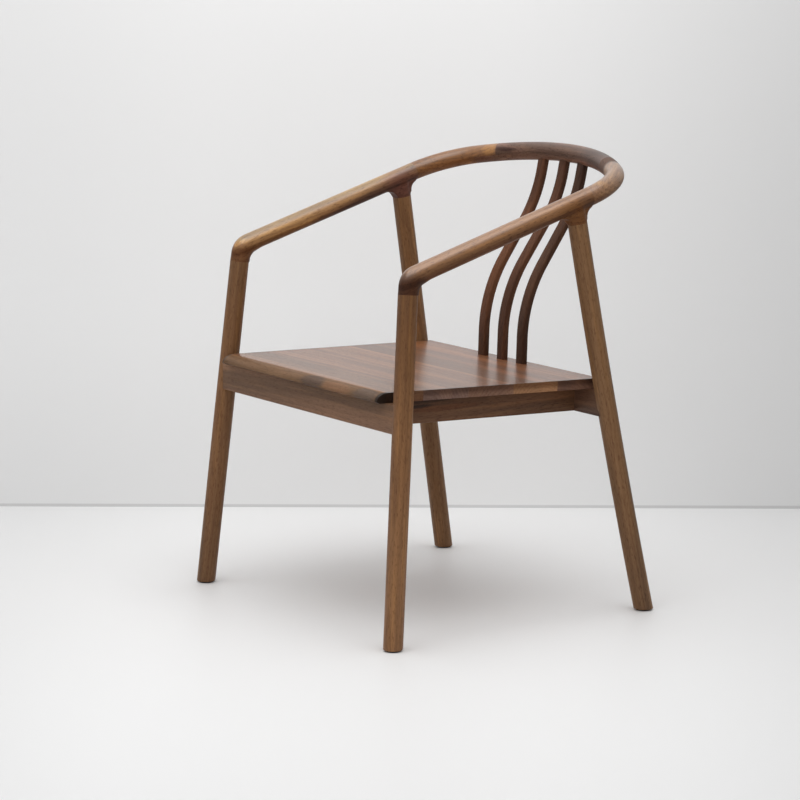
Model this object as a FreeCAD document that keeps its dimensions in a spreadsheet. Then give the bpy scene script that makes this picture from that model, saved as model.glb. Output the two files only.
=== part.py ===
import FreeCAD, Part
import math
import os

V = FreeCAD.Vector
X = V(1, 0, 0)

# Sizes in millimetres and degrees, each written once
SIZES = {
    # Seat between the legs, its height taken at the front edge
    "seat_height": 440.8,
    "seat_slope": 1.8,
    "seat_front_overhang": 34.7,
    "seat_back_overhang": 10,
    "seat_front_gap": 12.8,
    "seat_back_gap": 6.5,
    "seat_thickness": 18,
    "nose_run": 25,
    "nose_flat": 1.2,
    # Legs, with each foot measured from the middle of the chair
    "leg_dia": 35.4,
    "leg_foot_dia": 34.6,
    "leg_joint_dia": 34.8,
    "rear_leg_dia": 35,
    "front_foot_half": 317.4,
    "front_foot_reach": 301.6,
    "rear_foot_half": 319.1,
    "rear_foot_reach": 245.2,
    "rear_bow_in": 3.7,
    "rear_bow_forward": 2.5,
    "glide_dia": 26,
    "glide_thickness": 2.5,
    # Horseshoe rail, lying in a plane that climbs towards the back
    "rail_dia": 34,
    "rail_tilt": 16.95,
    "rail_level": 711.5,
    "arm_half": 277,
    "bend_radius": 128,
    "crest_radius": 431,
    "elbow_reach": 253.1,
    "elbow_radius": 28,
    "post_reach": 116.3,
    "post_setback": 31.8,
    "post_neck_dia": 33,
    "front_joint_drop": 28.2,
    "rear_joint_drop": 36.5,
    "throat_radius": 16,
    "throat_width": 24,
    "lap_length": 49,
    # Round tenons and dowels
    "tenon_dia": 18,
    "tenon_length": 17,
    "socket_gap": 0.3,
    "end_gap": 0.6,
    "dowel_dia": 10,
    "dowel_length": 36,
    "lap_dowel_dia": 6,
    "lap_dowel_length": 20,
    # Curved back slats, with the lean of each end and shares of their height and fullest curve
    "slat_width": 22,
    "slat_thickness": 12,
    "slat_spacing": 60.6,
    "slat_setback": 23.2,
    "slat_foot_lean": 2,
    "slat_head_lean": 12,
    "slat_foot_share": 0.127,
    "slat_head_share": 0.075,
    "slat_curve_share": 0.915,
    "slat_head_offset": 3,
    "slat_foot_housing": 11,
    "slat_head_housing": 9,
    "slat_round": 3,
    # Aprons, the boards on edge under the seat
    "apron_thickness": 18,
    "front_apron_height": 51,
    "apron_height": 48,
    "front_apron_setback": 16.5,
    "side_apron_inset": 76.8,
    "apron_tenon_thickness": 9,
    "apron_tenon_height": 30,
    "leg_tenon_depth": 15,
    "side_tenon_depth": 10,
    # Corner blocks and their screws
    "block_side": 48,
    "block_tip": 6,
    "block_height": 30,
    "screw_dia": 4,
    "screw_head_dia": 8,
    "screw_head_height": 3,
    "screw_shank": 26,
    "screw_grip": 12,
    "screw_gap": 0.2,
    "screw_line": 13,
    "screw_middle": 21,
    "screw_upper_share": 0.3,
    "screw_lower_share": 0.7,
    # How far a cutting tool or an untrimmed end runs past a face
    "overrun": 10,
}
BOARD_NAMES = (
    "seat_board_front",
    "seat_board_second",
    "seat_board_middle",
    "seat_board_fourth",
    "seat_board_back",
)

doc = FreeCAD.newDocument("armchair")
sheet = doc.addObject("Spreadsheet::Sheet", "dims")
for row, (alias, value) in enumerate(SIZES.items(), 1):
    sheet.set(f"A{row}", alias.replace("_", " "))
    sheet.set(f"B{row}", str(value))
    sheet.setAlias(f"B{row}", alias)
doc.recompute()
size = {alias: float(sheet.get(alias)) for alias in SIZES}
nodes = []


# Frames and placements

class Frame:
    def __init__(self, origin, along, up):
        self.origin = origin
        self.along = along
        self.up = up
        self.rotation = FreeCAD.Rotation(X, along, up, "ZXY")

    def at(self, across, along, up=0):
        return self.origin + X * across + self.along * along + self.up * up

    def placed(self, across, along, up=0):
        return FreeCAD.Placement(self.at(across, along, up), self.rotation)


def tilted(origin, degrees):
    angle = math.radians(degrees)
    along = V(0, math.cos(angle), math.sin(angle))
    up = V(0, -math.sin(angle), math.cos(angle))
    return Frame(origin, along, up)


def aim(base, direction, across=X):
    side = direction.cross(across)
    return FreeCAD.Placement(base, FreeCAD.Rotation(across, side, direction, "ZXY"))


# Document helpers

def make(kind, name, placement, bound, worked=None):
    thing = doc.addObject(kind, name)
    for field, formula in bound.items():
        thing.setExpression(field, formula)
    for field, value in (worked or {}).items():
        setattr(thing, field, value)
    thing.Placement = placement
    return thing


def fuse(name, pieces):
    whole = doc.addObject("Part::MultiFuse", name)
    whole.Shapes = pieces
    whole.Refine = True
    return whole


def cut(name, base, tools):
    result = doc.addObject("Part::Cut", name)
    result.Base = base
    result.Tool = tools[0] if len(tools) == 1 else fuse(name + "_tools", tools)
    return result


def common(name, base, tool):
    result = doc.addObject("Part::Common", name)
    result.Base = base
    result.Tool = tool
    return result


def mirror(name, source):
    twin = doc.addObject("Part::Mirroring", name)
    twin.Source = source
    twin.Base = V(0, 0, 0)
    twin.Normal = X
    return twin


def group(name, pieces):
    whole = doc.addObject("Part::Compound", name)
    whole.Links = pieces
    return whole


def node(thing):
    nodes.append(thing)
    return thing


def rod(name, base, direction, diameter, length):
    placement = aim(base, direction)
    return make("Part::Cylinder", name, placement, {"Radius": f"({diameter}) / 2"}, {"Height": length})


def taper(name, base, direction, start, end, length, gap=0):
    bound = {"Radius1": f"dims.{start} / 2 + {gap}", "Radius2": f"dims.{end} / 2 + {gap}"}
    return make("Part::Cone", name, aim(base, direction), bound, {"Height": length})


def slot(name, base, direction, width, thickness, length):
    placement = aim(base, direction)
    corner = placement.multVec(V(-width / 2, -thickness / 2, 0))
    placement.Base = corner
    worked = {"Length": width, "Width": thickness, "Height": length}
    return make("Part::Box", name, placement, {}, worked)


def outline_body(name, plane, outline, thickness, placement):
    body = doc.addObject("PartDesign::Body", name)
    origin_plane = [f for f in body.Origin.OriginFeatures if f.Role == plane][0]
    sketch = body.newObject("Sketcher::SketchObject", name + "_sketch")
    sketch.AttachmentSupport = [(origin_plane, "")]
    sketch.MapMode = "FlatFace"
    sketch.addGeometry(outline, False)
    pad = body.newObject("PartDesign::Pad", name + "_pad")
    pad.Profile = sketch
    pad.setExpression("Length", thickness)
    body.Placement = placement
    doc.recompute()
    return body, pad


def ring(name, frame, centre, radius, start, sweep, half=None):
    turned = frame.placed(*centre)
    turned.Rotation = turned.Rotation * FreeCAD.Rotation(V(0, 0, 1), start)
    bound = {"Radius1": f"dims.{radius}", "Radius2": "dims.rail_dia / 2"}
    worked = {"Angle3": sweep}
    if half == "upper":
        worked.update(Angle1=0, Angle2=180)
    if half == "lower":
        worked.update(Angle1=-180, Angle2=0)
    return make("Part::Torus", name, turned, bound, worked)


# Reference frames, axes and shared points

rail = tilted(V(0, 0, size["rail_level"]), size["rail_tilt"])

arm_end = size["post_reach"] + size["post_setback"]
radius_step = size["crest_radius"] - size["bend_radius"]
turn = math.acos((size["arm_half"] - size["bend_radius"]) / radius_step)
bend_centre = (size["arm_half"] - size["bend_radius"], arm_end)
crest_centre = (0, arm_end - radius_step * math.sin(turn))
lap_turn = size["lap_length"] / size["crest_radius"]

front_foot = V(size["front_foot_half"], -size["front_foot_reach"], 0)
elbow = rail.at(size["arm_half"], -size["elbow_reach"])
front_down = (front_foot - elbow).normalize()
front_joint = elbow + front_down * size["front_joint_drop"]

rear_foot = V(size["rear_foot_half"], size["rear_foot_reach"], 0)
post = rail.at(size["arm_half"], size["post_reach"])

front_axis = front_foot + (elbow - front_foot) * (size["seat_height"] / elbow.z)
seat_front = V(0, front_axis.y - size["seat_front_overhang"], size["seat_height"])
seat = tilted(seat_front, -size["seat_slope"])


# Where a leg's axis crosses a level of the seat: its place across and along the seat
def crossing(foot, top, level):
    rise = (seat.origin - foot).dot(seat.up) + level
    place = foot + (top - foot) * (rise / (top - foot).dot(seat.up))
    return place.x, (place - seat.origin).dot(seat.along)


front_across = crossing(front_foot, elbow, 0)[0]
rear_across, rear_along = crossing(rear_foot, post, 0)
seat_front_half = front_across - size["leg_dia"] / 2 - size["seat_front_gap"]
seat_back_half = rear_across - size["rear_leg_dia"] / 2 - size["seat_back_gap"]
seat_depth = rear_along + size["seat_back_overhang"]


# The rear leg's bowed axis, an arc from its foot to the rail
class BowedAxis:
    def __init__(self, start, end, bow):
        chord = end - start
        rise = bow.Length
        inward = bow - chord * (bow.dot(chord) / chord.dot(chord))
        inward.normalize()
        self.radius = (chord.Length ** 2 / 4 + rise ** 2) / (2 * rise)
        self.centre = (start + end) * 0.5 + inward * (rise - self.radius)
        self.first = (start - self.centre).normalize()
        self.normal = self.first.cross((end - self.centre).normalize()).normalize()
        self.sweep = 2 * math.asin(chord.Length / 2 / self.radius)
        self.length = self.radius * self.sweep

    def spoke(self, distance):
        turned = FreeCAD.Rotation(self.normal, math.degrees(distance / self.radius))
        return turned.multVec(self.first)

    def point(self, distance):
        return self.centre + self.spoke(distance) * self.radius

    def tangent(self, distance):
        return self.normal.cross(self.spoke(distance))


rear_axis = BowedAxis(rear_foot, post, V(-size["rear_bow_in"], -size["rear_bow_forward"], 0))
rear_joint_place = rear_axis.length - size["rear_joint_drop"]
rear_joint = rear_axis.point(rear_joint_place)
rear_up = rear_axis.tangent(rear_joint_place)


# Round tenon on a leg and the socket for it
def tenon(name, joint, upward):
    return rod(name, joint, upward, "dims.tenon_dia", size["tenon_length"])


def socket(name, joint, upward):
    length = size["overrun"] + size["tenon_length"] + size["end_gap"]
    base = joint - upward * size["overrun"]
    return rod(name, base, upward, "dims.tenon_dia + dims.socket_gap", length)


# Everything below the foot's flat, which sits on its glide
def floor_block(name, foot):
    side = size["leg_dia"] + 2 * size["overrun"]
    depth = 2 * size["overrun"]
    corner = V(foot.x - side / 2, foot.y - side / 2, size["glide_thickness"] - depth)
    worked = {"Length": side, "Width": side, "Height": depth}
    return make("Part::Box", name, FreeCAD.Placement(corner, FreeCAD.Rotation()), {}, worked)


# Aprons: boxes in the seat's frame, hung from the seat's underside

apron_top = -size["seat_thickness"]
front_face = size["front_apron_setback"]
front_back_face = front_face + size["apron_thickness"]
rear_face = seat_depth - size["apron_thickness"]
tenon_inset = (size["apron_thickness"] - size["apron_tenon_thickness"]) / 2
front_level = apron_top - size["front_apron_height"] / 2
rear_level = apron_top - size["apron_height"] / 2
front_half = crossing(front_foot, elbow, front_level)[0]
rear_half = crossing(rear_foot, post, rear_level)[0]
side_half = (front_half + rear_half) / 2 - size["side_apron_inset"]


# Long tenon bar along X through an apron, its ends inside both legs
def cross_bar(name, half, leg, face, level, gap):
    reach = half - size[leg] / 2 + size["leg_tenon_depth"] + gap
    width = size["apron_tenon_thickness"] + 2 * gap
    height = size["apron_tenon_height"] + 2 * gap
    placement = seat.placed(-reach, face + tenon_inset - gap, level - height / 2)
    worked = {"Length": 2 * reach, "Width": width, "Height": height}
    return make("Part::Box", name, placement, {}, worked)


def side_bar(name, gap):
    width = size["apron_tenon_thickness"] + 2 * gap
    height = size["apron_tenon_height"] + 2 * gap
    reach = size["side_tenon_depth"] + gap
    across = side_half - size["apron_thickness"] + tenon_inset - gap
    length = rear_face - front_back_face + 2 * reach
    placement = seat.placed(across, front_back_face - reach, rear_level - height / 2)
    worked = {"Length": width, "Width": length, "Height": height}
    return make("Part::Box", name, placement, {}, worked)


def apron_blank(name, half, face, height):
    placement = seat.placed(-half, face, apron_top - size[height])
    bound = {"Width": "dims.apron_thickness", "Height": f"dims.{height}"}
    return make("Part::Box", name, placement, bound, {"Length": 2 * half})


# Legs

# The front leg's two tapers, widened by a gap where they make room for it
def front_bars(name, gap):
    overrun = size["overrun"]
    span = (elbow - front_foot).Length - size["front_joint_drop"]
    low = front_foot + front_down * overrun
    middle = front_foot - front_down * (span / 2)
    up = front_down * -1
    ends = ("leg_foot_dia", "leg_dia", "leg_joint_dia")
    lower = taper(name + "_lower", low, up, ends[0], ends[1], span / 2 + overrun, gap)
    upper = taper(name + "_upper", middle, up, ends[1], ends[2], span / 2, gap)
    return [lower, upper]


def front_leg():
    bars = front_bars("front_leg", 0)
    post_tenon = tenon("front_leg_tenon", front_joint, front_down * -1)
    blank = fuse("front_leg_blank", bars + [post_tenon])
    gap = size["screw_gap"]
    mortise = cross_bar("front_mortise", front_half, "leg_dia", front_face, front_level, gap)
    left = node(cut("front_leg_left", blank, [floor_block("front_floor", front_foot), mortise]))
    node(mirror("front_leg_right", left))


def rear_ring(name, widening, start, end):
    placement = aim(rear_axis.centre, rear_axis.normal, rear_axis.spoke(start))
    bound = {"Radius2": f"dims.rear_leg_dia / 2 + {widening}"}
    sweep = math.degrees((end - start) / rear_axis.radius)
    worked = {"Radius1": rear_axis.radius, "Angle3": sweep}
    return make("Part::Torus", name, placement, bound, worked)


def rear_leg():
    bar = rear_ring("rear_leg_bar", "0", -size["overrun"], rear_joint_place)
    post_tenon = tenon("rear_leg_tenon", rear_joint, rear_up)
    blank = fuse("rear_leg_blank", [bar, post_tenon])
    gap = size["screw_gap"]
    mortise = cross_bar("rear_mortise", rear_half, "rear_leg_dia", rear_face, rear_level, gap)
    left = node(cut("rear_leg_left", blank, [floor_block("rear_floor", rear_foot), mortise]))
    node(mirror("rear_leg_right", left))


def glides():
    for name, foot, top in (("front", front_foot, elbow), ("rear", rear_foot, post)):
        shift = (top - foot) * (size["glide_thickness"] / top.z)
        base = V(foot.x + shift.x, foot.y + shift.y, 0)
        placement = FreeCAD.Placement(base, FreeCAD.Rotation())
        bound = {"Radius": "dims.glide_dia / 2", "Height": "dims.glide_thickness"}
        left = node(make("Part::Cylinder", f"{name}_glide_left", placement, bound))
        node(mirror(f"{name}_glide_right", left))


# Horseshoe rail: two arms, two bends and a crest

def arm_dowel(name, gap):
    length = size["dowel_length"] + gap
    base = rail.at(size["arm_half"], arm_end - length / 2)
    return rod(name, base, rail.along, f"dims.dowel_dia + {gap}", length)


def lap_dowel(name, gap):
    length = size["lap_dowel_length"] + gap
    angle = turn + lap_turn / 2
    across = size["crest_radius"] * math.cos(angle)
    along = crest_centre[1] + size["crest_radius"] * math.sin(angle)
    base = rail.at(across, along, -length / 2)
    return rod(name, base, rail.up, f"dims.lap_dowel_dia + {gap}", length)


def elbow_ring(tangent, between):
    middle = (front_down + rail.along).normalize()
    centre = elbow + middle * (size["elbow_radius"] / math.sin(between / 2))
    first = (elbow + front_down * tangent - centre).normalize()
    last = (elbow + rail.along * tangent - centre).normalize()
    placement = aim(centre, first.cross(last).normalize(), first)
    bound = {"Radius1": "dims.elbow_radius", "Radius2": "dims.rail_dia / 2"}
    worked = {"Angle3": 180 - math.degrees(between)}
    return make("Part::Torus", "elbow", placement, bound, worked)


# Web with two hollow rounds, where the rear leg's socket meets the arm
def throat():
    radius = size["throat_radius"]
    depth = size["rail_dia"] / 2 + radius
    side = size["rear_leg_dia"] / 2 + radius
    lean = -rear_up.dot(rail.along) / rear_up.dot(rail.up)
    middle = size["post_reach"] + lean * depth
    top = -size["rail_dia"] / 4
    start = size["arm_half"] - size["throat_width"] / 2
    bound = {"Length": "dims.throat_width"}
    worked = {"Width": 2 * side, "Height": depth + top}
    block = make("Part::Box", "throat_block", rail.placed(start, middle - side, -depth), bound, worked)
    rounds = []
    for name, place in (("front", middle - side), ("rear", middle + side)):
        base = rail.at(start - size["overrun"], place, -depth)
        length = size["throat_width"] + 2 * size["overrun"]
        placement = aim(base, X, rail.along)
        bound = {"Radius": "dims.throat_radius"}
        rounds.append(make("Part::Cylinder", f"throat_{name}", placement, bound, {"Height": length}))
    return cut("throat_web", block, rounds)


def arm():
    between = front_down.getAngle(rail.along)
    tangent = size["elbow_radius"] / math.tan(between / 2)
    start = elbow + rail.along * tangent
    length = arm_end + size["elbow_reach"] - tangent
    straight = rod("arm_straight", start, rail.along, "dims.rail_dia", length)
    stub_length = size["front_joint_drop"] - tangent
    up = front_down * -1
    stub = taper("elbow_stub", front_joint, up, "leg_joint_dia", "rail_dia", stub_length)
    neck_length = (post - rear_joint).Length
    neck = taper("post_stub", rear_joint, rear_up, "rear_leg_dia", "post_neck_dia", neck_length)
    blank = fuse("arm_blank", [straight, elbow_ring(tangent, between), stub, neck, throat()])
    front_socket = socket("front_socket", front_joint, up)
    rear_socket = socket("rear_socket", rear_joint, rear_up)
    tools = [front_socket, rear_socket, arm_dowel("arm_dowel_hole", size["socket_gap"])]
    left = node(cut("arm_left", blank, tools))
    node(mirror("arm_right", left))


def bend():
    angle = math.degrees(turn)
    lap = math.degrees(lap_turn)
    main = ring("bend_ring", rail, bend_centre, "bend_radius", 0, angle)
    tongue = ring("bend_tongue", rail, crest_centre, "crest_radius", angle, lap, "upper")
    blank = fuse("bend_blank", [main, tongue])
    tools = [arm_dowel("bend_dowel_hole", size["socket_gap"])]
    tools.append(lap_dowel("bend_lap_hole", size["socket_gap"]))
    left = node(cut("bend_left", blank, tools))
    node(mirror("bend_right", left))


def dowels():
    left = arm_dowel("arm_dowel", 0)
    node(group("arm_dowels", [left, mirror("arm_dowel_twin", left)]))
    left = lap_dowel("lap_dowel", 0)
    node(group("lap_dowels", [left, mirror("lap_dowel_twin", left)]))


# Back slats, each an S in side view: straight, arc, straight, arc, straight

def lean_direction(degrees):
    angle = math.radians(degrees)
    return V(0, math.sin(angle), math.cos(angle))


def lean_normal(degrees):
    angle = math.radians(degrees)
    return V(0, -math.cos(angle), math.sin(angle))


class SlatPath:
    def __init__(self, across):
        foot, head = size["slat_foot_lean"], size["slat_head_lean"]
        self.seat_point = seat.at(across, seat_depth - size["slat_setback"])
        radius = size["crest_radius"]
        along = crest_centre[1] + math.sqrt(radius ** 2 - across ** 2)
        inset = size["rail_dia"] / 2 - size["slat_head_housing"]
        self.top = rail.at(across, along) - V(0, size["slat_head_offset"], inset)
        height = self.top.z - self.seat_point.z
        self.low = self.seat_point + lean_direction(foot) * (size["slat_foot_share"] * height)
        self.out = self.top - lean_direction(head) * (size["slat_head_share"] * height)
        chord = self.out - self.low
        normals = lean_normal(foot) + lean_normal(head)
        fullest = chord.dot(chord) / (-2 * chord.dot(normals))
        self.radius = size["slat_curve_share"] * fullest
        self.low_centre = self.low - lean_normal(foot) * self.radius
        self.high_centre = self.out + lean_normal(head) * self.radius
        between = self.high_centre - self.low_centre
        lean = math.atan2(between.y, between.z) + math.asin(2 * self.radius / between.Length)
        self.leans = (foot, math.degrees(lean), head)

    # Outline of one face, as sketch geometry in the slat's side view
    def outline(self):
        foot, lean, head = self.leans
        corners = []
        curves = []
        for offset in (-size["slat_thickness"] / 2, size["slat_thickness"] / 2):
            start = self.seat_point - lean_direction(foot) * size["slat_foot_housing"]
            rise = self.low_centre + lean_normal(lean) * self.radius
            high = self.high_centre - lean_normal(lean) * self.radius
            places = [
                start + lean_normal(foot) * offset,
                self.low + lean_normal(foot) * offset,
                rise + lean_normal(lean) * offset,
                high + lean_normal(lean) * offset,
                self.out + lean_normal(head) * offset,
                self.top + lean_normal(head) * offset,
            ]
            middle = lean_normal((foot + lean) / 2) * (self.radius + offset)
            first_middle = self.low_centre + middle
            middle = lean_normal((lean + head) / 2) * (self.radius - offset)
            second_middle = self.high_centre - middle
            curves.append(line_2d(places[0], places[1]))
            curves.append(arc_2d(places[1], first_middle, places[2]))
            curves.append(line_2d(places[2], places[3]))
            curves.append(arc_2d(places[3], second_middle, places[4]))
            curves.append(line_2d(places[4], places[5]))
            corners.append((places[0], places[5]))
        curves.append(line_2d(corners[0][0], corners[1][0]))
        curves.append(line_2d(corners[0][1], corners[1][1]))
        return curves


def flat(point):
    return V(point.y, point.z, 0)


def line_2d(start, end):
    return Part.LineSegment(flat(start), flat(end))


def arc_2d(start, middle, end):
    return Part.Arc(flat(start), flat(middle), flat(end))


def slat(name, across):
    path = SlatPath(across)
    start = FreeCAD.Placement(V(across - size["slat_width"] / 2, 0, 0), FreeCAD.Rotation())
    body, pad = outline_body(name, "YZ_Plane", path.outline(), "dims.slat_width", start)
    long_edges = []
    for number, edge in enumerate(pad.Shape.Edges, 1):
        level = edge.BoundBox.XLength < size["slat_round"]
        if level and edge.Length > 2 * size["slat_thickness"]:
            long_edges.append(f"Edge{number}")
    rounded = body.newObject("PartDesign::Fillet", name + "_round")
    rounded.Base = (pad, long_edges)
    rounded.setExpression("Radius", "dims.slat_round")
    body.Tip = rounded
    node(body)
    gap = size["screw_gap"]
    width = size["slat_width"] + 2 * gap
    thickness = size["slat_thickness"] + 2 * gap
    up = lean_direction(size["slat_foot_lean"])
    base = path.seat_point - up * (size["slat_foot_housing"] + size["end_gap"])
    length = size["slat_foot_housing"] + size["end_gap"] + size["overrun"]
    foot_slot = slot(name + "_foot_slot", base, up, width, thickness, length)
    down = lean_direction(size["slat_head_lean"]) * -1
    base = path.top - down * size["end_gap"]
    length = size["slat_head_housing"] + size["end_gap"] + size["overrun"]
    head_slot = slot(name + "_head_slot", base, down, width, thickness, length)
    return foot_slot, head_slot


def crest(head_slots):
    angle = math.degrees(turn)
    lap = math.degrees(lap_turn)
    short = 180 - 2 * (angle + lap)
    upper = ring("crest_upper", rail, crest_centre, "crest_radius", angle + lap, short, "upper")
    lower = ring("crest_lower", rail, crest_centre, "crest_radius", angle, 180 - 2 * angle, "lower")
    blank = fuse("crest_blank", [upper, lower])
    hole = lap_dowel("crest_lap_hole", size["socket_gap"])
    tools = head_slots + [hole, mirror("crest_lap_hole_twin", hole)]
    node(cut("crest_rail", blank, tools))


# Corner blocks with their screws, modelled on the left and mirrored

class Screw:
    def __init__(self, name, base, direction, shank):
        self.name = name
        self.base = base
        self.direction = direction
        self.length = shank + size["screw_grip"]

    def solid(self):
        height = size["screw_head_height"]
        shank = rod(self.name + "_shank", self.base, self.direction, "dims.screw_dia", self.length)
        head = taper(self.name + "_head", self.base, self.direction, "screw_head_dia", "screw_dia", height)
        return fuse(self.name, [shank, head])

    def hole(self):
        gap = size["screw_gap"]
        shank = rod(
            self.name + "_bore",
            self.base,
            self.direction,
            f"dims.screw_dia + {2 * gap}",
            self.length + gap,
        )
        reach = size["block_side"]
        base = self.base + self.direction * gap
        opening = make(
            "Part::Cone",
            self.name + "_sink",
            aim(base, self.direction),
            {
                "Radius1": f"dims.screw_head_dia / 2 + {gap}",
                "Radius2": f"dims.screw_dia / 2 + {gap}",
                "Height": "dims.screw_head_height",
            },
        )
        back = self.direction * -1
        access = rod(self.name + "_access", base, back, f"dims.screw_head_dia + {2 * gap}", reach)
        return fuse(self.name + "_hole", [shank, opening, access])


def corner_block(name, face, sign):
    side, tip = size["block_side"], size["block_tip"]
    corner = side_half - size["apron_thickness"]
    shape = [(0, 0), (-side, 0), (-side, sign * tip), (-tip, sign * side), (0, sign * side)]
    points = [V(a, b, 0) for a, b in shape]
    outline = [Part.LineSegment(p, q) for p, q in zip(points, points[1:] + points[:1])]
    placement = seat.placed(corner, face, apron_top - size["block_height"])
    body, pad = outline_body(name + "_blank", "XY_Plane", outline, "dims.block_height", placement)
    line, middle, shank = size["screw_line"], size["screw_middle"], size["screw_shank"]
    upper = size["screw_upper_share"] * size["block_height"]
    lower = size["screw_lower_share"] * size["block_height"]
    across = seat.at(corner - shank, face + sign * line, apron_top - upper)
    along = seat.at(corner - line, face + sign * shank, apron_top - lower)
    bottom = seat.at(corner - middle, face + sign * middle, apron_top - size["block_height"])
    screws = [
        Screw(name + "_side_screw", across, X, shank),
        Screw(name + "_face_screw", along, seat.along * -sign, shank),
        Screw(name + "_seat_screw", bottom, seat.up, size["block_height"]),
    ]
    holes = [screw.hole() for screw in screws]
    left = node(cut(name + "_left", body, holes))
    node(mirror(name + "_right", left))
    return screws, holes


def aprons(front_holes, rear_holes):
    front_blank = apron_blank("front_apron_blank", front_half, front_face, "front_apron_height")
    left_leg = fuse("front_leg_space", front_bars("front_leg_room", size["screw_gap"]))
    bar = cross_bar("front_tenons", front_half, "leg_dia", front_face, front_level, 0)
    mortise = side_bar("side_mortise", size["screw_gap"])
    shouldered = cut("front_apron_board", front_blank, [left_leg, mirror("front_leg_space_twin", left_leg)])
    whole = fuse("front_apron_whole", [shouldered, bar])
    tools = [mortise, front_holes[1]]
    tools += [mirror("side_mortise_twin", mortise), mirror("front_face_hole_twin", front_holes[1])]
    node(cut("front_apron", whole, tools))

    rear_blank = apron_blank("rear_apron_blank", rear_half, rear_face, "apron_height")
    left_leg = rear_ring("rear_leg_space", str(size["screw_gap"]), 0, rear_joint_place)
    bar = cross_bar("rear_tenons", rear_half, "rear_leg_dia", rear_face, rear_level, 0)
    mortise = side_bar("rear_side_mortise", size["screw_gap"])
    shouldered = cut("rear_apron_board", rear_blank, [left_leg, mirror("rear_leg_space_twin", left_leg)])
    whole = fuse("rear_apron_whole", [shouldered, bar])
    tools = [mortise, rear_holes[1]]
    tools += [mirror("rear_side_mortise_twin", mortise), mirror("rear_face_hole_twin", rear_holes[1])]
    node(cut("rear_apron", whole, tools))

    start = side_half - size["apron_thickness"]
    placement = seat.placed(start, front_back_face, apron_top - size["apron_height"])
    bound = {"Length": "dims.apron_thickness", "Height": "dims.apron_height"}
    worked = {"Width": rear_face - front_back_face}
    board = make("Part::Box", "side_apron_board", placement, bound, worked)
    whole = fuse("side_apron_whole", [board, side_bar("side_tenons", 0)])
    left = node(cut("side_apron_left", whole, [front_holes[0], rear_holes[0]]))
    node(mirror("side_apron_right", left))


# Seat: one glued panel, shaped first and then taken as its five boards

def seat_boards(tools):
    run, thick, depth = size["nose_run"], size["seat_thickness"], seat_depth
    drop = thick - size["nose_flat"]
    radius = (run ** 2 + drop ** 2) / (2 * drop)
    half_turn = math.atan2(run, radius - drop) / 2
    middle = V(run - radius * math.sin(half_turn), radius * math.cos(half_turn) - radius, 0)
    top_front, nose = V(run, 0, 0), V(0, -drop, 0)
    under_front, under_back = V(0, -thick, 0), V(depth, -thick, 0)
    top_back = V(depth, 0, 0)
    outline = [
        Part.Arc(top_front, middle, nose),
        Part.LineSegment(nose, under_front),
        Part.LineSegment(under_front, under_back),
        Part.LineSegment(under_back, top_back),
        Part.LineSegment(top_back, top_front),
    ]
    half = max(seat_front_half, seat_back_half)
    profile, pad = outline_body("seat_profile", "YZ_Plane", outline, f"{2 * half}", seat.placed(-half, 0))
    bound = {
        "Ymin": "0 mm",
        "Zmin": "-dims.seat_thickness",
        "Zmax": "0 mm",
        "Z2min": "-dims.seat_thickness",
        "Z2max": "0 mm",
    }
    worked = {
        "Xmin": -seat_front_half,
        "Xmax": seat_front_half,
        "X2min": -seat_back_half,
        "X2max": seat_back_half,
        "Ymax": depth,
    }
    plan = make("Part::Wedge", "seat_plan", seat.placed(0, 0), bound, worked)
    panel = cut("seat_panel", common("seat_blank", profile, plan), tools)
    step = depth / len(BOARD_NAMES)
    for index, name in enumerate(BOARD_NAMES):
        placement = seat.placed(-half, index * step, -thick)
        worked = {"Length": 2 * half, "Width": step}
        share = make("Part::Box", name + "_share", placement, {"Height": "dims.seat_thickness"}, worked)
        node(common(name, panel, share))


def with_twins(holes):
    return holes + [mirror(hole.Name + "_twin", hole) for hole in holes]


def screw_group(name, screws):
    solids = [screw.solid() for screw in screws]
    twins = [mirror(solid.Name + "_twin", solid) for solid in solids]
    node(group(name, solids + twins))


front_leg()
rear_leg()
glides()
arm()
bend()
dowels()
slots = [
    slat("back_slat_left", size["slat_spacing"]),
    slat("back_slat_middle", 0),
    slat("back_slat_right", -size["slat_spacing"]),
]
crest([head for foot, head in slots])
front_screws, front_holes = corner_block("front_corner_block", front_back_face, 1)
rear_screws, rear_holes = corner_block("rear_corner_block", rear_face, -1)
aprons(front_holes, rear_holes)
seat_boards([foot for foot, head in slots] + with_twins([front_holes[2], rear_holes[2]]))
screw_group("apron_screws", front_screws[:2] + rear_screws[:2])
screw_group("seat_screws", [front_screws[2], rear_screws[2]])

doc.recompute()
for thing in doc.Objects:
    if "Invalid" in thing.State or "Error" in thing.State:
        raise RuntimeError(f"{thing.Label} did not build: {thing.State}")
for thing in nodes:
    if thing.Shape.isNull() or not thing.Shape.isValid():
        raise RuntimeError(f"{thing.Label} has no valid shape")

os.makedirs("parts", exist_ok=True)
for thing in nodes:
    thing.Shape.exportStep(f"parts/{thing.Label}.step")
    box = thing.Shape.BoundBox
    print(thing.Label, len(thing.Shape.Solids), round(thing.Shape.Volume), "top", round(box.ZMax, 1))
print("wrote", len(nodes), "parts")
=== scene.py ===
import bmesh
import bpy
import math
from mathutils import Matrix, Vector


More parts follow.
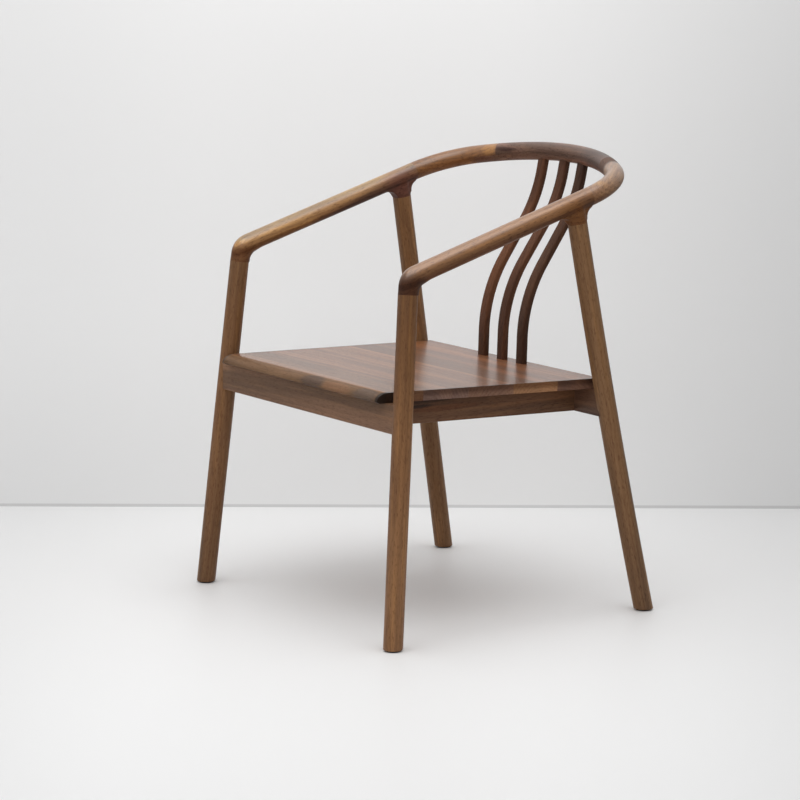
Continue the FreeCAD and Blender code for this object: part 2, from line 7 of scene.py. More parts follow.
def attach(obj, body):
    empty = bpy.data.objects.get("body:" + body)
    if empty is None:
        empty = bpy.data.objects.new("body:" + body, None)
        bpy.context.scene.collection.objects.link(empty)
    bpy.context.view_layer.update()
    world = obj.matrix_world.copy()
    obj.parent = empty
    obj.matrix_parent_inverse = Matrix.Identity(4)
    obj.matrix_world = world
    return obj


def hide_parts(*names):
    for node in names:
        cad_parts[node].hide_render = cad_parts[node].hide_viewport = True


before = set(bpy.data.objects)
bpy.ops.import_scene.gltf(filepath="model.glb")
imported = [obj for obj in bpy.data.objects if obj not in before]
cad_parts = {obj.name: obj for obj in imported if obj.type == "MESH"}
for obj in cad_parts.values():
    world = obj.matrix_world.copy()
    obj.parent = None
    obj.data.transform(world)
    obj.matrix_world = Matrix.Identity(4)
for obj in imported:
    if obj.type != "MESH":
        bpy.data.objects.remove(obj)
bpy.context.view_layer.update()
scene = bpy.context.scene
print("frame loaded:", len(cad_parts), "nodes")


# Camera, as the photograph was taken: a long lens, a little above the seat

camera = {
    "place": (4.6891, -3.2246, 1.3470),
    "aim": (-0.0677, -0.0282, 0.3571),
    "lens": 141.4,
    "sensor": 36,
    "sight": 60,    # metres that it sees
}


def towards(place, aim):  # the turn of a camera or a lamp that stands at one point and looks at another
    return (Vector(aim) - Vector(place)).to_track_quat("-Z", "Y").to_euler()


def addCamera(look):
    place = look["place"]
    bpy.ops.object.camera_add(location=place, rotation=towards(place, look["aim"]))
    scene.camera = bpy.context.object
    scene.camera.data.lens = look["lens"]
    scene.camera.data.sensor_width = look["sensor"]
    scene.camera.data.clip_end = look["sight"]


addCamera(camera)
scene.view_settings.view_transform = "Standard"


# Shader wiring: sums written on sockets, and any other node by its type, settings and inputs

class Wire:
    def __init__(self, tree, socket):
        self.tree = tree
        self.socket = socket

    def maths(self, operation, first, second=None):
        node = self.tree.nodes.new("ShaderNodeMath")
        node.operation = operation
        for slot, value in zip(node.inputs, (first, second)):
            if isinstance(value, Wire):
                self.tree.links.new(value.socket, slot)
            elif value is not None:
                slot.default_value = value
        return Wire(self.tree, node.outputs[0])

    def __add__(self, other):
        return self.maths("ADD", self, other)

    def __radd__(self, other):
        return self.maths("ADD", other, self)

    def __sub__(self, other):
        return self.maths("SUBTRACT", self, other)

    def __mul__(self, other):
        return self.maths("MULTIPLY", self, other)

    def root(self):
        return self.maths("SQRT", self)

    def fraction(self):
        return self.maths("FRACT", self)

    def step(self, low, high):  # 0 at low, 1 at high, smooth between; low may be the larger
        node = self.tree.nodes.new("ShaderNodeMapRange")
        node.interpolation_type = "SMOOTHSTEP"
        self.tree.links.new(self.socket, node.inputs["Value"])
        node.inputs["From Min"].default_value = min(low, high)
        node.inputs["From Max"].default_value = max(low, high)
        node.inputs["To Min"].default_value = 1 if low > high else 0
        node.inputs["To Max"].default_value = 0 if low > high else 1
        return Wire(self.tree, node.outputs[0])


class Finish:
    def __init__(self, name, world=False):
        self.material = (bpy.data.worlds if world else bpy.data.materials).new(name)
        self.material.use_nodes = True
        self.tree = self.material.node_tree
        self.tree.nodes.clear()
        self.last = "ShaderNodeOutputWorld" if world else "ShaderNodeOutputMaterial"

    def node(self, kind, settings, inputs, output=0):
        node = self.tree.nodes.new(kind)
        for field, value in settings.items():
            setattr(node, field, value)
        for key, value in inputs.items():
            if isinstance(value, Wire):
                self.tree.links.new(value.socket, node.inputs[key])
            else:
                node.inputs[key].default_value = value
        return Wire(self.tree, node.outputs[output])

    def place(self):
        return self.node("ShaderNodeTexCoord", {}, {}, "Object")

    def split(self, vector):
        node = self.tree.nodes.new("ShaderNodeSeparateXYZ")
        self.tree.links.new(vector.socket, node.inputs[0])
        return [Wire(self.tree, socket) for socket in node.outputs]

    def vector(self, operation, first, second):
        return self.node("ShaderNodeVectorMath", {"operation": operation}, {0: first, 1: second})

    def dot(self, first, second):
        settings = {"operation": "DOT_PRODUCT"}
        return self.node("ShaderNodeVectorMath", settings, {0: first, 1: second}, "Value")

    def distance(self, place, centre, radii):  # 1 on the egg of these half sizes
        away = self.vector("DIVIDE", self.vector("SUBTRACT", place, centre), radii)
        return self.node("ShaderNodeVectorMath", {"operation": "LENGTH"}, {0: away}, "Value")

    def noise(self, vector, factors, detail):
        inputs = {"Vector": self.vector("MULTIPLY", vector, factors), "Scale": 1, "Detail": detail}
        return self.node("ShaderNodeTexNoise", {}, inputs)

    def onWay(self, place, point, way, low, high):  # 0 to 1 from low to high metres past a point
        way = Vector(way).normalized()
        past = Vector(point).dot(way)
        return self.dot(place, way).step(past + low, past + high)

    def mix(self, factor, first, second, blend="MIX"):
        colours = [v if isinstance(v, Wire) else (*v, 1) for v in (first, second)]
        settings = {"data_type": "RGBA", "blend_type": blend}
        return self.node("ShaderNodeMix", settings, {0: factor, 6: colours[0], 7: colours[1]}, 2)

    def done(self, shader):
        out = self.tree.nodes.new(self.last)
        self.tree.links.new(shader.socket, out.inputs["Surface"])
        return self.material


def paintColour(code):  # a colour written as on a paint chart, such as 6b4a33
    parts = [int(code[i:i + 2], 16) / 255 for i in (0, 2, 4)]
    return tuple(c / 12.92 if c < 0.04 else ((c + 0.055) / 1.055) ** 2.4 for c in parts)


# Oiled and lacquered walnut. The grain runs along the stick that the piece was cut from

walnut = {
    "tones": ("6f5139", "48352a", "9a7149"),    # middling, dark and light
    "tone": (0.40, 0.62),      # share of the broad bands that turn dark
    "gold": 0.30,              # strength of the light streaks
    "rings": 150,              # growth rings to a metre
    "ringDrift": 0.05,         # how far the rings wander, in metres
    "late": 0.24,              # strength of the dark half of each ring
    "fibre": 0.28,
    "fleck": 0.45,             # strength of the short dark flecks
    "pore": 0.45,
    "knot": 0.75,
    "patchStir": 0.4,          # how far the streaks stir the edge of a patch
    "bump": (0.22, 0.0004),    # strength and depth in metres
    "relief": (0.5, 0.25, -0.7),    # height of fibre, streak and pore
    "rough": 0.42,
    "roughMore": (0.08, 0.12),      # added by streak and pore
    "shine": 0.22,             # oiled wood hardly mirrors; the seat is polished more
    "coat": (),                # where hands have polished it: a point, the way, from, to and weight
    "dull": (),                # centre and radii of places that aren't polished all the same
    "coatRough": 0.30,
    "coatIor": 1.6,
    "heart": (0.05, 0.09),     # from the piece's axis to the heart of the tree
    "slide": 0,
    "washes": (),              # a point, the way, from, to and what the colour is multiplied by there; on the rails, slats and seat these are painted highlights, painted shade and painted bounce light
    "patches": (),             # centre, radii, colour, strength and edge softness of odd-coloured places; a few stand for painted shade
    "knots": (),               # centre and radius
}
grainNoise = {  # how close each pattern lies along and across the grain, and its detail
    "drift": ((1.5, 8, 8), 2),
    "tone": ((1.3, 26, 26), 3),
    "streak": ((4.5, 150, 150), 3),
    "fibre": ((28, 900, 900), 2),
    "fleck": ((95, 430, 430), 2),
    "pore": ((75, 1500, 1500), 1),
}
grainStep = {  # the values of each pattern that its mark comes in between; it fades if the first is larger
    "streak": (0.50, 0.74),
    "fibre": (0.62, 0.35),
    "fleck": (0.54, 0.68),
    "pore": (0.60, 0.72),
    "late": (0.25, 0.85),
    "lateEnd": (1.0, 0.93),
    "knot": (1.1, 0.5),    # in radii from its centre, and so is the bend of the rings round it
    "knotBend": (3.2, 0),
    "dull": (0.8, 1.2),
}
grainShade = {  # what the colour is multiplied by in the dark parts of each pattern
    "late": (0.42, 0.34, 0.30),
    "fibre": (0.55, 0.50, 0.46),
    "fleck": (0.42, 0.34, 0.28),
    "pore": (0.35, 0.30, 0.28),
    "knot": (0.25, 0.18, 0.15),
}


def wood(name, start, end, changes=None):
    look = dict(walnut, **(changes or {}))
    start, end = Vector(start), Vector(end)
    turn = (end - start).to_track_quat("X", "Z")
    heart = start + turn @ Vector((look["slide"], *look["heart"]))
    finish = Finish(name)
    place = finish.place()
    mapped = {"Vector": place, "Location": heart, "Rotation": turn.to_euler()}
    grain = finish.node("ShaderNodeMapping", {"vector_type": "TEXTURE"}, mapped)
    mid, dark, light = (paintColour(code) for code in look["tones"])

    drift, tone, streak, fibre, fleck, pore = (finish.noise(grain, *close) for close in grainNoise.values())
    pore = pore.step(*grainStep["pore"])
    x, y, z = finish.split(grain)
    radius = (y * y + z * z).root() + (drift - 0.5) * look["ringDrift"]
    marks = {}
    for centre, reach in look["knots"]:
        distance = finish.distance(place, centre, (reach, reach, reach))
        radius = radius + distance.step(*grainStep["knotBend"]) * reach
        spot = distance.step(*grainStep["knot"])
        marks["knot"] = marks["knot"] + spot if marks else spot
    ring = (radius * look["rings"]).fraction()
    marks = {
        "late": ring.step(*grainStep["late"]) * ring.step(*grainStep["lateEnd"]),
        "fibre": fibre.step(*grainStep["fibre"]),
        "fleck": fleck.step(*grainStep["fleck"]),
        "pore": pore,
        **marks,
    }

    colour = finish.mix(tone.step(*look["tone"]), dark, mid)
    colour = finish.mix(streak.step(*grainStep["streak"]) * look["gold"], colour, light)
    stir = (streak - 0.5) * look["patchStir"]
    for centre, radii, tint, strength, soft in look["patches"]:
        mask = (finish.distance(place, centre, radii) + stir).step(1 + soft, 1 - soft)
        colour = finish.mix(mask * strength, colour, paintColour(tint))
    # washes: painted light and shade, and runs of darker or lighter tone, multiplied over the colour
    for point, way, low, high, tint in look["washes"]:
        colour = finish.mix(finish.onWay(place, point, way, low, high), colour, tint, "MULTIPLY")
    for mark, mask in marks.items():
        colour = finish.mix(mask * look[mark], colour, grainShade[mark], "MULTIPLY")

    fibreHigh, streakHigh, poreHigh = look["relief"]
    height = fibre * fibreHigh + streak * streakHigh + pore * poreHigh
    streakRough, poreRough = look["roughMore"]
    strength, depth = look["bump"]
    bump = finish.node("ShaderNodeBump", {}, {"Strength": strength, "Distance": depth, "Height": height})
    inputs = {
        "Base Color": colour,
        "Roughness": look["rough"] + streak * streakRough + pore * poreRough,
        "Specular IOR Level": look["shine"],
        "Normal": bump,
    }
    if look["coat"]:
        point, way, low, high, weight = look["coat"]
        weight = finish.onWay(place, point, way, low, high) * weight
        for centre, radii in look["dull"]:
            weight = weight * finish.distance(place, centre, radii).step(*grainStep["dull"])
        inputs["Coat Weight"] = weight
        inputs["Coat Roughness"] = look["coatRough"]
        inputs["Coat IOR"] = look["coatIor"]
    return finish.done(finish.node("ShaderNodeBsdfPrincipled", {}, inputs))


# Picking out a piece by itself

def fresh():
    if bpy.context.mode != "OBJECT":
        bpy.ops.object.mode_set(mode="OBJECT")
    bpy.ops.object.select_all(action="DESELECT")


def only(piece):
    fresh()
    piece.select_set(True)
    bpy.context.view_layer.objects.active = piece


# Studio: pale floor and wall, with painted light falloff across both and painted shade at the wall's foot,
# one broad soft light overhead

studio = {
    "wallPoint": (-0.6816, 0.3856),
    "wallTurn": 55.25,
    "wallSize": (12, 5),
    "wallRough": 0.9,
    "floorSize": 16,
    "floorRough": 0.5,
    "acrossView": (0.57, 0.82, 0),
    "wallPaintedFalloff": ((-0.85, 0.88), (-0.45, 0.91), (0.05, 0.90), (0.95, 0.70)),  # metres from the left; the pale wall darkens towards the right by painted light falloff
    # the floor's pale paint darkens towards both sides by painted light falloff
    "floorPaintedFalloff": ((-0.9, 0.76), (-0.45, 0.825), (0.1, 0.825), (0.95, 0.68)),
    "wallFootShade": (0.45, (0.93, 0.93, 0.93)),    # the height that a painted shade at the foot of the wall fades over
    "footRun": (0.4, -0.6),                    # it fades towards the right as well
    "crease": (0.0075, (0.80, 0.80, 0.80)),    # height and shade of the painted shadow line where wall and floor meet
    "creaseShare": 0.6,                        # share of that height that is as dark as it gets
    "skyStrength": 0.45,
    "skyWay": (-0.34, -0.49, 0.80),    # where the air is brighter, and by how much
    "skySlant": 0.8,
    "keyPlace": (0.45, -0.3, 2.6),
    "keyAim": (0, 0, 0.2),
    "keySize": (2.6, 2.2),
    "keyPower": 43,
}


def addStudio(look):
    bpy.ops.mesh.primitive_plane_add(size=look["floorSize"])
    floor = bpy.context.object
    floor.name = "studioFloor"
    width, height = look["wallSize"]
    x, y = look["wallPoint"]
    turn = math.radians(look["wallTurn"])
    bpy.ops.mesh.primitive_plane_add(size=1, location=(x, y, height / 2), rotation=(math.pi / 2, 0, turn))
    wall = bpy.context.object
    wall.name = "studioWall"
    wall.scale = (width, height, 1)

    for plane in (floor, wall):
        only(plane)
        bpy.ops.object.transform_apply(location=True, rotation=True, scale=True)

    def paintRun(paint, stops):
        across = paint.dot(paint.place(), look["acrossView"])
        colour = (stops[0][1],) * 3
        for (low, _), (high, shade) in zip(stops, stops[1:]):
            colour = paint.mix(across.step(low, high), colour, (shade,) * 3)
        return colour, across

    paint = Finish("floorPaint")
    colour, across = paintRun(paint, look["floorPaintedFalloff"])
    inputs = {"Base Color": colour, "Roughness": look["floorRough"]}
    floor.data.materials.append(paint.done(paint.node("ShaderNodeBsdfPrincipled", {}, inputs)))

    paint = Finish("wallPaint")
    colour, across = paintRun(paint, look["wallPaintedFalloff"])
    height = paint.split(paint.place())[2]
    # painted shade: the wall's foot and the line where it meets the floor are darkened
    reach, shade = look["wallFootShade"]
    colour = paint.mix(height.step(reach, 0) * across.step(*look["footRun"]), colour, shade, "MULTIPLY")
    reach, shade = look["crease"]
    colour = paint.mix(height.step(reach, reach * look["creaseShare"]), colour, shade, "MULTIPLY")
    inputs = {"Base Color": colour, "Roughness": look["wallRough"]}
    lit = paint.node("ShaderNodeBsdfPrincipled", {}, inputs)
    gone = paint.node("ShaderNodeBsdfTransparent", {}, {})
    behind = paint.node("ShaderNodeNewGeometry", {}, {}, "Backfacing")
    shader = paint.node("ShaderNodeMixShader", {}, {0: behind, 1: lit, 2: gone})
    wall.data.materials.append(paint.done(shader))

    air = Finish("studioAir", world=True)
    way = air.node("ShaderNodeTexCoord", {}, {}, "Generated")
    strength = look["skyStrength"] + air.dot(way, look["skyWay"]) * (look["skyStrength"] * look["skySlant"])
    inputs = {"Color": (1, 1, 1, 1), "Strength": strength}
    scene.world = air.done(air.node("ShaderNodeBackground", {}, inputs))

    place = look["keyPlace"]
    bpy.ops.object.light_add(type="AREA", location=place, rotation=towards(place, look["keyAim"]))
    key = bpy.context.object.data
    key.shape = "RECTANGLE"
    key.size, key.size_y = look["keySize"]
    key.energy = look["keyPower"]


addStudio(studio)
print("studio ready")


# Modelling by hand: a round disc is pulled and spun along its stick

hair = 1e-5    # metres under which two places are the same
runOn = 0.012    # metres that a stick runs on before it is cut to its length
nearMiddle = 0.01    # metres from a board's middle within which its long edges have theirs
discSides = 64
easeSteps = 3
smoothUnder = 40    # degrees between faces that still look like one round


def pick(piece, kind, test):  # selects the verts, edges or faces whose middle passes the test
    bpy.ops.mesh.select_all(action="DESELECT")
    bpy.ops.mesh.select_mode(type=kind)
    mesh = bmesh.from_edit_mesh(piece.data)
    for part in {"VERT": mesh.verts, "EDGE": mesh.edges, "FACE": mesh.faces}[kind]:
        if kind == "VERT":
            middle = part.co
        elif kind == "EDGE":
            middle = (part.verts[0].co + part.verts[1].co) / 2
        else:
            middle = part.calc_center_median()
        if test(part, middle):
            part.select_set(True)
    mesh.select_flush_mode()
    bmesh.update_edit_mesh(piece.data)


class Sweep:
    def __init__(self, name, centre, facing, radius=0, flat=None):  # a disc, or a flat stick's section
        fresh()
        self.centre = Vector(centre)
        turn = Vector(facing).to_track_quat("Z", "Y").to_euler()
        if flat:
            bpy.ops.mesh.primitive_plane_add(size=1, location=self.centre, rotation=turn)
            bpy.context.object.scale = (*flat, 1)
        else:
            bpy.ops.mesh.primitive_circle_add(
                vertices=discSides, radius=radius, fill_type="NGON", location=self.centre, rotation=turn
            )
        self.piece = bpy.context.object
        self.piece.name = name
        bpy.ops.object.transform_apply(location=True, rotation=True, scale=True)
        bpy.ops.object.mode_set(mode="EDIT")
        bpy.ops.mesh.select_all(action="SELECT")
        bpy.ops.mesh.select_mode(type="FACE")

    def pull(self, step, swell=1):
        bpy.ops.mesh.extrude_region_move(TRANSFORM_OT_translate={"value": tuple(step)})
        self.centre = self.centre + Vector(step)
        if swell != 1:
            bpy.ops.transform.resize(value=(swell, swell, swell), center_override=tuple(self.centre))

    def spin(self, centre, axis, degrees, steps):
        centre, axis = Vector(centre), Vector(axis)
        bpy.ops.mesh.spin(steps=steps, angle=-math.radians(degrees), center=tuple(centre), axis=tuple(axis))
        turned = Matrix.Rotation(math.radians(degrees), 3, axis)
        self.centre = centre + turned @ (self.centre - centre)

    def shoulder(self, inset, step):
        bpy.ops.mesh.inset(thickness=inset)
        self.pull(step)

    def trim(self, point, outward, ease):  # cuts off what lies beyond a plane, and eases the new edge
        point, outward = Vector(point), Vector(outward).normalized()
        bpy.ops.mesh.select_all(action="SELECT")
        bpy.ops.mesh.bisect(plane_co=tuple(point), plane_no=tuple(outward), use_fill=True, clear_outer=True)

        def onCut(face, middle):
            return abs((middle - point).dot(outward)) < hair and abs(face.normal.dot(outward)) > 0.9
        pick(self.piece, "FACE", onCut)
        bpy.ops.mesh.region_to_loop()
        bpy.ops.mesh.bevel(offset=ease, segments=easeSteps, affect="EDGES")


def shut(piece, angle):
    only(piece)
    bpy.ops.object.mode_set(mode="EDIT")
    bpy.ops.mesh.select_all(action="SELECT")
    bpy.ops.mesh.remove_doubles(threshold=hair)
    bpy.ops.mesh.normals_make_consistent(inside=False)
    bpy.ops.object.mode_set(mode="OBJECT")
    bpy.ops.object.transform_apply(location=True, rotation=True, scale=True)
    bpy.ops.object.shade_smooth_by_angle(angle=math.radians(angle))


def applyAll(piece):  # its modifiers, in their order
    only(piece)
    for modifier in list(piece.modifiers):
        bpy.ops.object.modifier_apply(modifier=modifier.name)


def twin(piece, name):  # the same piece for the other side of the chair, with its own mesh
    only(piece)
    bpy.ops.object.duplicate()
    other = bpy.context.object
    other.name = name
    bpy.ops.transform.resize(value=(-1, 1, 1), center_override=(0, 0, 0))
    bpy.ops.object.transform_apply(location=True, rotation=True, scale=True)
    return other


def fit(piece, node, material, angle=smoothUnder):
    shut(piece, angle)
    piece.data.materials.clear()
    piece.data.materials.append(material)
    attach(piece, "root")
    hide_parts(node)


# Setting out, in metres: the horseshoe rail lies in a plane that climbs towards the back

rail = {
    "level": 0.7115,
    "climb": 16.95,
    "radius": 0.017,
    "armHalf": 0.277,
    "elbowAt": -0.2531,
    "postAt": 0.1163,
    "armEnd": 0.1481,
    "bendRadius": 0.128,
    "crestRadius": 0.431,
    "lap": 0.049,
    "bendSteps": 30,
    "crestSteps": 60,
    "lapSteps": 5,
}
railFrame = Matrix.Translation((0, 0, rail["level"])) @ Matrix.Rotation(math.radians(rail["climb"]), 4, "X")
alongRail = (railFrame.to_3x3() @ Vector((0, 1, 0))).normalized()
upRail = (railFrame.to_3x3() @ Vector((0, 0, 1))).normalized()


def onRail(across, along, up=0):
    return railFrame @ Vector((across, along, up))


turnStep = rail["crestRadius"] - rail["bendRadius"]
bendAcross = rail["armHalf"] - rail["bendRadius"]
bendTurn = math.degrees(math.acos(bendAcross / turnStep))
bendCentre = onRail(bendAcross, rail["armEnd"])
crestCentreAlong = rail["armEnd"] - turnStep * math.sin(math.radians(bendTurn))
crestCentre = onRail(0, crestCentreAlong)
lapTurn = math.degrees(rail["lap"] / rail["crestRadius"])
elbowPoint = onRail(rail["armHalf"], rail["elbowAt"])
postPoint = onRail(rail["armHalf"], rail["postAt"])
armEnd = onRail(rail["armHalf"], rail["armEnd"])
railMiddle = onRail(0, 0)
mirrored = Vector((-1, 1, 1))


def onCrest(degrees):
    angle = math.radians(degrees)
    radius = rail["crestRadius"]
    return onRail(radius * math.cos(angle), crestCentreAlong + radius * math.sin(angle))


# Front legs: tapered both ways from the middle, a tenon above, the foot trimmed level and eased

legEnds = {
    "tenonRadius": 0.009,
    "tenonLength": 0.017,
    "floorGap": 0.0025,    # room for the glide under the foot
    "footRound": 0.0014,
}
frontLeg = {
    "foot": Vector((0.3174, -0.3016, 0)),
    "footRadius": 0.0173,
    "middleRadius": 0.0177,
    "jointRadius": 0.0174,
    "jointDrop": 0.0282,
    **legEnds,
}


def makeFrontLeg(look):
    up = (elbowPoint - look["foot"]).normalized()
    joint = elbowPoint - up * look["jointDrop"]
    middle = (joint + look["foot"]) / 2
    low = look["foot"] - up * runOn
    leg = Sweep("frontLegLeft", low, up, look["footRadius"])
    leg.pull(middle - low, look["middleRadius"] / look["footRadius"])
    leg.pull(joint - middle, look["jointRadius"] / look["middleRadius"])
    leg.shoulder(look["jointRadius"] - look["tenonRadius"], up * look["tenonLength"])
    leg.trim((0, 0, look["floorGap"]), (0, 0, -1), look["footRound"])
    fresh()
    return leg.piece, up, joint


frontLegLeft, frontUp, frontJoint = makeFrontLeg(frontLeg)
frontLegRight = twin(frontLegLeft, "frontLegRight")
frontFoot = frontLeg["foot"]
fit(frontLegLeft, "front_leg_left", wood("legWoodFrontLeft", frontFoot, frontJoint, {
    "tones": ("9a6f48", "855f40", "ba8851"), "heart": (0.03, 0.11), "slide": 0.4,
    "washes": (
        (frontFoot, frontUp, 0.1, 0.35, (0.88, 0.86, 0.83)),
        (frontFoot, frontUp, 0.35, 0.55, (0.74, 0.71, 0.67)),
    ),
}))
farFoot, farTop = frontFoot * mirrored, frontJoint * mirrored
fit(frontLegRight, "front_leg_right", wood("legWoodFrontRight", farFoot, farTop, {
    "tones": ("825c3c", "6b4e34", "9e7343"), "heart": (-0.07, 0.06), "slide": 1.3,
}))
print("front legs made")


# Rear legs: bowed a little inwards and forwards, so the disc is spun round a distant centre

rearLeg = {
    "foot": Vector((0.3191, 0.2452, 0)),
    "radius": 0.0175,
    "bow": Vector((-0.0037, -0.0025, 0)),
    "jointDrop": 0.0365,
    "steps": 24,
    **legEnds,
}


def makeRearLeg(look):
    foot, bow = look["foot"], look["bow"]
    chord = postPoint - foot
    rise = bow.length
    inward = (bow - chord * (bow.dot(chord) / chord.dot(chord))).normalized()
    radius = (chord.length ** 2 / 4 + rise ** 2) / (2 * rise)
    centre = (foot + postPoint) / 2 + inward * (rise - radius)
    axis = (foot - centre).cross(postPoint - centre).normalized()
    length = 2 * radius * math.asin(chord.length / 2 / radius)

    def at(distance):
        return centre + Matrix.Rotation(distance / radius, 3, axis) @ (foot - centre)

    place = length - look["jointDrop"]
    up = axis.cross(at(place) - centre).normalized()
    start = at(-runOn)
    leg = Sweep("rearLegLeft", start, axis.cross(start - centre), look["radius"])
    leg.spin(centre, axis, math.degrees((place + runOn) / radius), look["steps"])
    leg.shoulder(look["radius"] - look["tenonRadius"], up * look["tenonLength"])
    leg.trim((0, 0, look["floorGap"]), (0, 0, -1), look["footRound"])
    fresh()
    return leg.piece, up, at(place)


rearLegLeft, rearUp, rearJoint = makeRearLeg(rearLeg)
rearLegRight = twin(rearLegLeft, "rearLegRight")
rearFoot = rearLeg["foot"]
fit(rearLegLeft, "rear_leg_left", wood("legWoodRearLeft", rearFoot, rearJoint, {
    "tones": ("846141", "6b4f37", "ab7c4a"), "heart": (0.06, -0.08), "slide": 0.8,
    "knots": (((0.305, 0.178, 0.415), 0.0045), ((0.305, 0.171, 0.44), 0.003)),
}))
farFoot, farTop = rearFoot * mirrored, rearJoint * mirrored
fit(rearLegRight, "rear_leg_right", wood("legWoodRearRight", farFoot, farTop, {
    "tones": ("996d45", "7c593a", "ba854e"), "heart": (-0.05, 0.07), "slide": 2.1,
}))
print("rear legs made")


# Arms: a stub on the front leg, the elbow, the long straight and the hollow-sided rear socket

arm = {
    "elbowRadius": 0.028,
    "elbowSteps": 24,
    "neckRadius": 0.0165,
    "throatRadius": 0.016,
    "throatWidth": 0.024,
    "hollowLength": 0.1,
    "hollowSides": 96,
    "voxel": 0.0014,
    "socketDrop": 0.020,           # from the post's top down to the socket's middle
    "softReach": (0.050, 0.034),   # how far from that middle the softening starts, and where it is full
    "softTimes": 26,
    "evenTimes": 3,
    "roundReach": (0.032, 0.046),  # how far from it the sticks start to be trued up, and where fully
    "roundRange": (0.7, 1.3),      # shares of the true radius that still count as the stick's skin
    "crook": 0.0046,
    "knuckle": 0.0016,
    "crookReach": 0.026,
    "cutReach": 0.03,              # radius of the ball that each end's cut keeps to
}
elbowTurn = (-frontUp).angle(alongRail)
elbowRun = arm["elbowRadius"] / math.tan(elbowTurn / 2)
stubEnd = elbowPoint - frontUp * elbowRun
straightStart = elbowPoint + alongRail * elbowRun
elbowInward = (alongRail - frontUp).normalized()
elbowCentre = elbowPoint + elbowInward * (arm["elbowRadius"] / math.sin(elbowTurn / 2))
elbowAxis = (stubEnd - elbowCentre).cross(straightStart - elbowCentre).normalized()


def makeTube():
    thin = frontLeg["jointRadius"]
    tube = Sweep("armLeft", frontJoint - frontUp * runOn, frontUp, thin)
    tube.pull(frontUp * runOn)
    tube.pull(stubEnd - frontJoint, rail["radius"] / thin)
    tube.spin(elbowCentre, elbowAxis, 180 - math.degrees(elbowTurn), arm["elbowSteps"])
    tube.pull(armEnd + alongRail * runOn - tube.centre)
    fresh()
    return tube.piece


def makeNeck(look):
    neck = Sweep("armNeck", rearJoint - rearUp * runOn, rearUp, rearLeg["radius"])
    neck.pull(rearUp * runOn)
    neck.pull(postPoint - rearJoint, look["neckRadius"] / rearLeg["radius"])
    fresh()
    return neck.piece


def makeThroat(look):  # a block under the rail, hollowed before and behind the neck
    hollow = look["throatRadius"]
    depth = rail["radius"] + hollow
    side = rearLeg["radius"] + hollow
    lean = -rearUp.dot(alongRail) / rearUp.dot(upRail)
    foot = rail["postAt"] + lean * depth
    top = -rail["radius"] / 4
    turn = Matrix.Rotation(math.radians(rail["climb"]), 3, "X").to_euler()
    bpy.ops.mesh.primitive_cube_add(
        size=1, location=onRail(rail["armHalf"], foot, (top - depth) / 2), rotation=turn,
        scale=(look["throatWidth"], 2 * side, depth + top),
    )
    web = bpy.context.object
    web.name = "armThroat"
    across = Vector((0, 0, 1)).rotation_difference(Vector((1, 0, 0))).to_euler()
    for along in (foot - side, foot + side):
        place = onRail(rail["armHalf"], along, -depth)
        bpy.ops.mesh.primitive_cylinder_add(
            vertices=look["hollowSides"], radius=hollow, depth=look["hollowLength"],
            location=place, rotation=across,
        )
        cutter = bpy.context.object
        carve = web.modifiers.new("hollow", "BOOLEAN")
        carve.operation = "DIFFERENCE"
        carve.object = cutter
        applyAll(web)
        bpy.data.objects.remove(cutter)
    fresh()
    return web


def weld(parts, voxel):  # makes one skin of pieces that run through each other, under the last one's name
    for part in parts:
        part.select_set(True)
    piece = parts[-1]
    bpy.context.view_layer.objects.active = piece
    bpy.ops.object.join()
    only(piece)
    bpy.ops.object.mode_set(mode="EDIT")
    bpy.ops.mesh.select_all(action="SELECT")
    bpy.ops.mesh.normals_make_consistent(inside=False)
    bpy.ops.object.mode_set(mode="OBJECT")
    remesh = piece.modifiers.new("weld", "REMESH")
    remesh.mode = "VOXEL"
    remesh.voxel_size = voxel
    applyAll(piece)
    return piece


def ramp(value, low, high):  # 0 at low, 1 at high, straight between; low may be the larger
    return min(1, max(0, (value - low) / (high - low)))


def soften(piece, socketMiddle, look):
    group = piece.vertex_groups.new(name="socket")
    for vertex in piece.data.vertices:
        weight = ramp((vertex.co - socketMiddle).length, *look["softReach"])
        if weight:
            group.add([vertex.index], weight, "REPLACE")
    soft = piece.modifiers.new("soften", "SMOOTH")
    soft.factor = 0.5
    soft.iterations = look["softTimes"]
    soft.vertex_group = group.name
    even = piece.modifiers.new("even", "SMOOTH")
    even.factor = 0.5
    even.iterations = look["evenTimes"]
    applyAll(piece)


def stickAt(point):  # the nearest point of the stick's own axis, and its true radius there
    reach = (point - straightStart).dot(alongRail)
    if reach > 0:
        return straightStart + alongRail * reach, rail["radius"]
    if (point - stubEnd).dot(frontUp) < 0 and point.z < elbowPoint.z:
        low = (point - frontJoint).dot(frontUp)
        share = ramp(low, 0, (stubEnd - frontJoint).length)
        thin = frontLeg["jointRadius"]
        return frontJoint + frontUp * low, thin + (rail["radius"] - thin) * share
    flat = (point - elbowCentre) - elbowAxis * (point - elbowCentre).dot(elbowAxis)
    return elbowCentre + flat.normalized() * arm["elbowRadius"], rail["radius"]


def trueUp(piece, socketMiddle, look):  # sticks go back to their true radius, the elbow gets its crook
    onward = elbowAxis.cross(elbowInward)
    least, most = look["roundRange"]
    for vertex in piece.data.vertices:
        distance = (vertex.co - socketMiddle).length
        reach = (vertex.co - straightStart).dot(alongRail)
        if reach > 0 and distance <= look["roundReach"][0]:
            continue
        middle, target = stickAt(vertex.co)
        spoke = vertex.co - middle
        if least < spoke.length / target < most:
            outside = middle + spoke.normalized() * target
            vertex.co = vertex.co.lerp(outside, ramp(distance, *look["roundReach"]))
        past = (vertex.co - elbowPoint).dot(onward) / look["crookReach"]
        facing = spoke.normalized().dot(elbowInward)
        if abs(past) < 1:
            push = look["crook"] if facing > 0 else look["knuckle"]
            vertex.co = vertex.co + elbowInward * (push * facing * (1 - past ** 2) ** 2)


